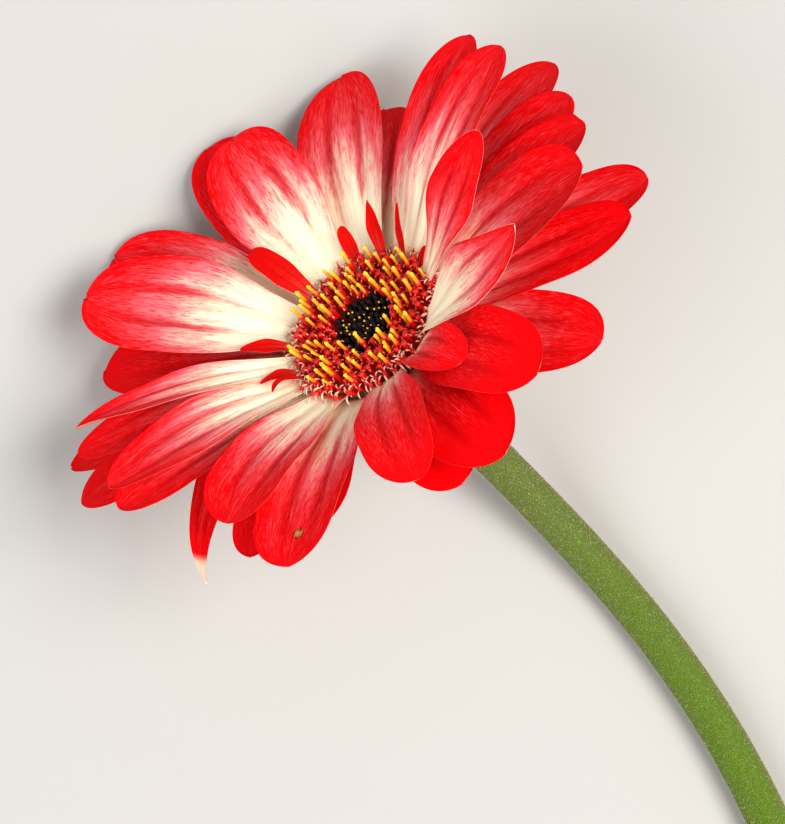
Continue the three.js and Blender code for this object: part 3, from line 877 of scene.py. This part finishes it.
def spiral_layout():
    """Copies of a shape on a sunflower spiral, leaning outwards, with some left out."""
    graph, take, made, keys = new_layout(
        "floret_spiral",
        [("Geometry", "g"), ("Shape", "o"), ("Count", "i")]
        + [(label, "f") for label in ("Inner radius", "Outer radius", "Height", "Crown")]
        + [(label, "f") for label in ("Lean in", "Lean out", "Tilt", "Jitter")]
        + [(label, "f") for label in ("Smallest", "Largest", "Kept")]
        + [("Seed", "i"), ("Material", "m")],
    )
    index = graph.add("GeometryNodeInputIndex").outputs[0]

    def chance(low, high, salt):
        return graph.chance(low, high, graph.math("ADD", take["Seed"], salt), index)

    def either_way(limit, salt):
        return chance(graph.times(limit, -1.0), limit, salt)

    share = graph.math("DIVIDE", graph.math("ADD", index, 0.5), take["Count"])
    low = graph.math("POWER", take["Inner radius"], 2.0)
    high = graph.math("POWER", take["Outer radius"], 2.0)
    square = graph.math("MULTIPLY_ADD", share, graph.math("SUBTRACT", high, low), low)
    radius = graph.math("SQRT", square)
    radius = graph.math("ADD", radius, either_way(take["Jitter"], 1))
    turn = graph.math("ADD", graph.times(index, GOLDEN_ANGLE), chance(-0.04, 0.04, 2))
    x = graph.times(radius, graph.math("COSINE", turn))
    y = graph.times(radius, graph.math("SINE", turn))
    out = graph.math("DIVIDE", radius, take["Outer radius"])
    fallen = graph.math("SUBTRACT", 1.0, graph.math("POWER", out, 2.0))
    crown = graph.times(take["Crown"], fallen)
    z = graph.math("ADD", take["Height"], crown)
    places = {"Count": take["Count"], "Position": graph.vector(x, y, z)}
    points = graph.add("GeometryNodePoints", places)
    lean = graph.span(out, 0.35, 1.0, take["Lean in"], take["Lean out"], kind="LINEAR")
    lean = graph.math("ADD", lean, either_way(take["Tilt"], 3))
    roll = either_way(take["Tilt"], 4)
    size = chance(take["Smallest"], take["Largest"], 5)
    keep = graph.math("LESS_THAN", chance(0.0, 1.0, 6), take["Kept"])
    facing = graph.vector(roll, lean, turn)
    stand_copies(graph, take, made, points.outputs[0], facing, size, keep)
    return graph.tree, keys


def down_layout():
    """Short hairs that stand on a surface, leaning this way and that."""
    graph, take, made, keys = new_layout(
        "down_hairs",
        [("Geometry", "g"), ("Shape", "o")]
        + [(label, "f") for label in ("Density", "Shortest", "Longest", "Tilt")]
        + [("Seed", "i"), ("Material", "m")],
    )
    spread = graph.add(
        "GeometryNodeDistributePointsOnFaces",
        {"Mesh": take["Geometry"], "Density": take["Density"], "Seed": take["Seed"]},
    )

    def chance(low, high, salt):
        return graph.chance(low, high, graph.math("ADD", take["Seed"], salt))

    less = graph.times(take["Tilt"], -1.0)
    nod, sway = chance(less, take["Tilt"], 1), chance(less, take["Tilt"], 2)
    lean = graph.vector(nod, sway, chance(0, 6.28, 3))
    turn = graph.add("FunctionNodeEulerToRotation", {0: lean})
    aim = graph.add(
        "FunctionNodeRotateRotation",
        {"Rotation": spread.outputs["Rotation"], "Rotate By": turn.outputs[0]},
        rotation_space="LOCAL",
    )
    size = chance(take["Shortest"], take["Longest"], 4)
    stand_copies(graph, take, made, spread.outputs["Points"], aim.outputs[0], size)
    return graph.tree, keys


def laid_out(name, layout, values, start=None, place=None):
    """Runs a layout on a start mesh and keeps its result as a plain mesh object."""
    tree, keys = layout
    host = as_object(name, start or bpy.data.meshes.new(name))
    modifier = host.modifiers.new("layout", "NODES")
    modifier.node_group = tree
    for label, value in values.items():
        modifier[keys[label]] = value
    bpy.context.view_layer.update()
    ready = host.evaluated_get(bpy.context.evaluated_depsgraph_get())
    mesh = bpy.data.meshes.new_from_object(ready)
    host.modifiers.remove(modifier)
    host.data = mesh
    if place is not None:
        mesh.transform(place)
    mesh.name = name
    return host


def merge_shapes(name, parts):
    """One mesh from (points, faces, tip values) parts."""
    points, faces, tips = [], [], []
    for part_points, part_faces, part_tips in parts:
        start = len(points)
        points.extend(map(tuple, part_points))
        faces.extend(tuple(corner + start for corner in face) for face in part_faces)
        tips.extend(part_tips)
    return as_object(name, build_mesh(name, points, faces, tip=tips))


def tube_part(path, radii, tips, sides, flat=1.0, lead=(0, 1, 0)):
    """A closed tube along a path, with a tip value at each step."""
    path = np.asarray(path, float)
    ahead = np.gradient(path, axis=0)
    ahead /= np.linalg.norm(ahead, axis=1, keepdims=True)
    side = np.cross(np.asarray(lead, float), ahead)
    side /= np.maximum(np.linalg.norm(side, axis=1, keepdims=True), 1e-9)
    up = np.cross(ahead, side)
    points, values = [], []
    for i, centre in enumerate(path):
        for j in range(sides):
            turn = 2 * math.pi * (j + 0.5) / sides
            reach = side[i] * math.cos(turn) * radii[i] * flat + up[i] * math.sin(turn) * radii[i]
            points.append(centre + reach)
            values.append(tips[i])
    faces = ring_faces(len(path), sides)
    faces.append(tuple(range(sides - 1, -1, -1)))
    faces.append(tuple(range((len(path) - 1) * sides, len(path) * sides)))
    return points, faces, values


def upright_part(heights, radii, tips, sides, x=0, y=0):
    """A closed tube that stands straight up."""
    return tube_part([(x, y, z) for z in heights], radii, tips, sides, lead=(1, 0, 0))


def curled_lobe(azimuth, start, reach, rise, curl, width, pale=1.1):
    """A narrow floret lobe that rises from the tube's mouth and curls over."""
    steps = np.linspace(0, 1, 6)
    slope = math.radians(rise) - math.radians(curl) * steps
    forward = np.concatenate([[0], np.cumsum(np.cos(slope[1:]))]) * reach / 5
    upward = np.concatenate([[0], np.cumsum(np.sin(slope[1:]))]) * reach / 5
    turn = math.radians(azimuth)
    out = start[0] + forward
    path = np.stack([out * math.cos(turn), out * math.sin(turn), start[1] + upward], -1)
    radii = width * np.array([0.8, 1, 1, 0.95, 0.8, 0.45])
    lead = (-math.sin(turn), math.cos(turn), 0)
    return tube_part(path, radii, 0.15 + (pale - 0.15) * steps, 4, 0.45, lead)


def floret_shape(name, height, girth, lobes):
    tube = upright_part(
        [0, height * 0.55, height * 0.9, height],
        [girth * 0.7, girth * 0.8, girth, girth * 0.92],
        [0, 0, 0.1, 0.2],
        7,
    )
    return merge_shapes(name, [tube] + [curled_lobe(*lobe) for lobe in lobes])


# Across, along, rise and size of each lump of pollen on a column.
POLLEN_LUMPS = [
    (0.14, 0.08, 0, 0.22),
    (-0.13, 0.12, 0.1, 0.2),
    (0.0, -0.16, 0.02, 0.21),
    (0.04, 0.02, 0.24, 0.23),
]


def column_shape(name, height, girth):
    """An anther column with lumps of pollen at its top."""
    column = tube_part(
        [(0, 0, 0), (0, 0, height * 0.5), (0.05, 0, height * 0.9), (0.06, 0, height)],
        [girth * 0.8, girth, girth * 1.05, girth * 0.7],
        [0, 0.15, 0.4, 0.8],
        7,
        lead=(1, 0, 0),
    )
    parts = [column]
    for x, y, rise, size in POLLEN_LUMPS:
        z = height - 0.15 + rise
        heights = [z + size * step for step in (-1, -0.5, 0.5, 1)]
        radii = [size * 0.35, size * 0.9, size * 0.9, size * 0.35]
        parts.append(upright_part(heights, radii, [0.9] * 4, 6, x, y))
    return merge_shapes(name, parts)


def bud_shape(name):
    """A closed, pointed floret bud."""
    bud = tube_part(
        [(0, 0, 0), (0, 0, 0.9), (0, 0, 1.7), (0, 0, 2.1), (0.03, 0, 2.3)],
        [0.3, 0.46, 0.5, 0.36, 0.1],
        [0, 0, 0.1, 0.4, 0.7],
        7,
        lead=(1, 0, 0),
    )
    return merge_shapes(name, [bud])


def grain_shape(name):
    grain = upright_part([-0.16, -0.08, 0.08, 0.16], [0.06, 0.15, 0.15, 0.06], [0.6] * 4, 6)
    return merge_shapes(name, [grain])


def hair_shape(name):
    """A pointed hair of unit length that leans a little."""
    path = [(0, 0, -0.02), (0.2, 0, 0.98)]
    return merge_shapes(name, [tube_part(path, [0.055, 0.012], [0, 1], 3)])


def remove_shapes(*shapes):
    for shape in shapes:
        bpy.data.objects.remove(shape)


def make_disc():
    spiral = spiral_layout()
    disc_place = HEAD @ Matrix.Translation(DISC_SHIFT)
    rim_floret = floret_shape(
        "rim_floret",
        2.5,
        0.38,
        [
            (0, (0.25, 2.4), 2.0, 85, 150, 0.19),
            (140, (0.2, 2.4), 1.4, 85, 170, 0.16),
            (215, (0.2, 2.4), 1.3, 85, 160, 0.16),
        ],
    )
    disc_floret = floret_shape(
        "disc_floret",
        3.1,
        0.44,
        [
            (20, (0.3, 2.8), 0.9, 70, 170, 0.14, 0.5),
            (150, (0.3, 2.8), 0.8, 70, 180, 0.14, 0.7),
            (260, (0.3, 2.8), 0.8, 70, 180, 0.14, 0.4),
        ],
    )
    column = column_shape("column", 5.1, 0.27)
    bud = bud_shape("bud")
    grain = grain_shape("grain")

    bed_profile = [
        (9.5, CUP_TOP + 0.05),
        (CUP_RADIUS - 0.1, CUP_TOP + 0.2),
        (CUP_RADIUS - 0.1, 0.5),
        (10.6, 1.0),
        (8.0, 1.2),
        (5.0, 0.9),
        (2.5, 0.5),
    ]
    bed_mesh = lathe("bed", bed_profile, 48, lambda p: {"tip": np.zeros(len(p))})
    head_piece(bed_mesh, bed_maroon, [], "disc_florets", disc_place)

    def layer(name, shape, material, nodes, slot_name, **values):
        given = {label.replace("_", " ").capitalize(): value for label, value in values.items()}
        given.update({"Shape": shape, "Material": material})
        piece = laid_out(name, spiral, given, place=disc_place)
        return finish_piece(piece, nodes, slot_name)

    layer(
        "disc_tubes", disc_floret, floret_red, ["disc_florets_inner"], "disc_florets",
        Tilt=0.1, Smallest=0.8, Largest=1.12, Kept=1.1, **FLORET_PLACES,
    )
    layer(
        "rim_tubes", rim_floret, floret_red, ["disc_florets_outer"], "disc_florets",
        Count=92, Inner_radius=10.4, Outer_radius=12.0, Height=-0.2, Crown=0.0,
        Lean_in=0.3, Lean_out=0.42, Tilt=0.14, Jitter=0.1, Smallest=0.8, Largest=1.15,
        Kept=1.1, Seed=8,
    )
    layer(
        "anther_columns", column, pollen_gold, [], "disc_florets",
        Tilt=0.08, Smallest=0.8, Largest=1.08, Kept=0.46, **FLORET_PLACES,
    )
    layer(
        "eye_buds", bud, bud_black, ["disc_eye"], "disc_eye",
        Count=80, Inner_radius=0.0, Outer_radius=5.4, Height=-0.1, Crown=0.15,
        Lean_in=0.0, Lean_out=0.1, Tilt=0.1, Jitter=0.1, Smallest=0.85, Largest=1.05,
        Kept=1.1, Seed=4,
    )
    layer(
        "eye_grains", grain, pollen_gold, [], "disc_florets",
        Count=70, Inner_radius=0.3, Outer_radius=4.2, Height=2.1, Crown=0.2,
        Lean_in=0.0, Lean_out=0.0, Tilt=0.3, Jitter=0.4, Smallest=0.7, Largest=1.2,
        Kept=0.45, Seed=21,
    )
    remove_shapes(rim_floret, disc_floret, column, bud, grain)


def make_down(carriers):
    """The fine pale hairs of the stem, cup and bracts."""
    layout = down_layout()
    hair = hair_shape("hair")
    for name, source, density, short, long, tilt, slot_name in carriers:
        start = source.data.copy()
        values = {
            "Shape": hair,
            "Density": density,
            "Shortest": short * MM,
            "Longest": long * MM,
            "Tilt": tilt,
            "Seed": 11,
            "Material": down_pale,
        }
        piece = laid_out(name, layout, values, start=start)
        for point in piece.data.vertices:
            point.co.z = max(point.co.z, LOWEST_HAIR)
        finish_piece(piece, [], slot_name)
    remove_shapes(hair)


cup = make_cup()
scales = make_bracts()
stem = make_stem()
make_disc()
carriers = [
    ("stem_down", stem, 4.6e6, 0.2, 0.6, 0.9, "stem"),
    ("cup_down", cup, 3.5e6, 0.3, 0.8, 0.8, "bracts"),
]
for index, scale in enumerate(scales, 1):
    carriers.append((f"scale_down_{index:02d}", scale, 3.0e6, 0.25, 0.7, 0.8, "bracts"))
make_down(carriers)


# ---- Surface, light and camera ----

def make_floor():
    size = 3.0
    points = [(-size, -size), (size, -size), (size, size), (-size, size)]
    mesh = build_mesh("surface", [(x, y, -FLOOR_DROP) for x, y in points], [(0, 1, 2, 3)])
    material, graph, shader = new_material("surface_pale")
    graph.fill(shader, Base_Color=colour("bcbab6"), Roughness=0.85)
    mesh.materials.append(material)
    as_object("surface", mesh)


def soft_light(name, towards, distance, size, power, tint):
    """A square soft light that shines on the head from a direction in the model's frame."""
    light = bpy.data.lights.new(name, "AREA")
    light.shape = "SQUARE"
    light.size = size
    light.energy = power
    light.color = tint
    lamp = bpy.data.objects.new(name, light)
    bpy.context.scene.collection.objects.link(lamp)
    aim = Vector(towards).normalized()
    lamp.location = HEAD_CENTRE + aim * distance
    lamp.rotation_euler = aim.to_track_quat("Z", "Y").to_euler()


VIEW_TURN = math.radians(-125)
VIEW_HEIGHT = 0.65
# The metres in one step of the camera's frame, the frame's steps, and the head's place in it.
VIEW_STEP = 0.000145
FRAME_WIDTH, FRAME_HEIGHT = 785, 824
HEAD_ACROSS, HEAD_DOWN = 368, 330
RIGHT = Vector((math.cos(VIEW_TURN), math.sin(VIEW_TURN), 0))
AWAY = Vector((-math.sin(VIEW_TURN), math.cos(VIEW_TURN), 0))


def make_lights():
    up = Vector((0, 0, 1))
    soft_light("key", RIGHT * 0.5 + AWAY * 0.02 + up * 0.95, 0.9, 0.45, 7.6, (1.0, 0.98, 0.94))
    soft_light("fill", RIGHT * -0.6 - AWAY * 0.5 + up * 0.9, 1.2, 0.9, 6.5, (0.97, 0.98, 1.0))
    world = bpy.data.worlds.new("studio")
    world.use_nodes = True
    sky = world.node_tree.nodes["Background"]
    Graph(world.node_tree).fill(sky, Color=(0.9, 0.92, 0.95, 1), Strength=0.45)
    bpy.context.scene.world = world


def make_camera():
    """Looks straight down on the lying flower, with the head in the upper left of the picture."""
    across = (FRAME_WIDTH / 2 - HEAD_ACROSS) * VIEW_STEP
    away = (HEAD_DOWN - FRAME_HEIGHT / 2) * VIEW_STEP
    aim = HEAD_CENTRE + RIGHT * across + AWAY * away
    lens = bpy.data.cameras.new("camera")
    lens.sensor_width = 36
    lens.lens = lens.sensor_width * VIEW_HEIGHT / (FRAME_HEIGHT * VIEW_STEP)
    lens.clip_start = 0.01
    camera = bpy.data.objects.new("camera", lens)
    camera.location = aim + Vector((0, 0, VIEW_HEIGHT))
    camera.rotation_euler = (0, 0, VIEW_TURN)
    bpy.context.scene.collection.objects.link(camera)
    bpy.context.scene.camera = camera


make_floor()
make_lights()
make_camera()
bpy.context.scene.view_settings.view_transform = "Standard"
bpy.context.scene.view_settings.look = "Medium High Contrast"
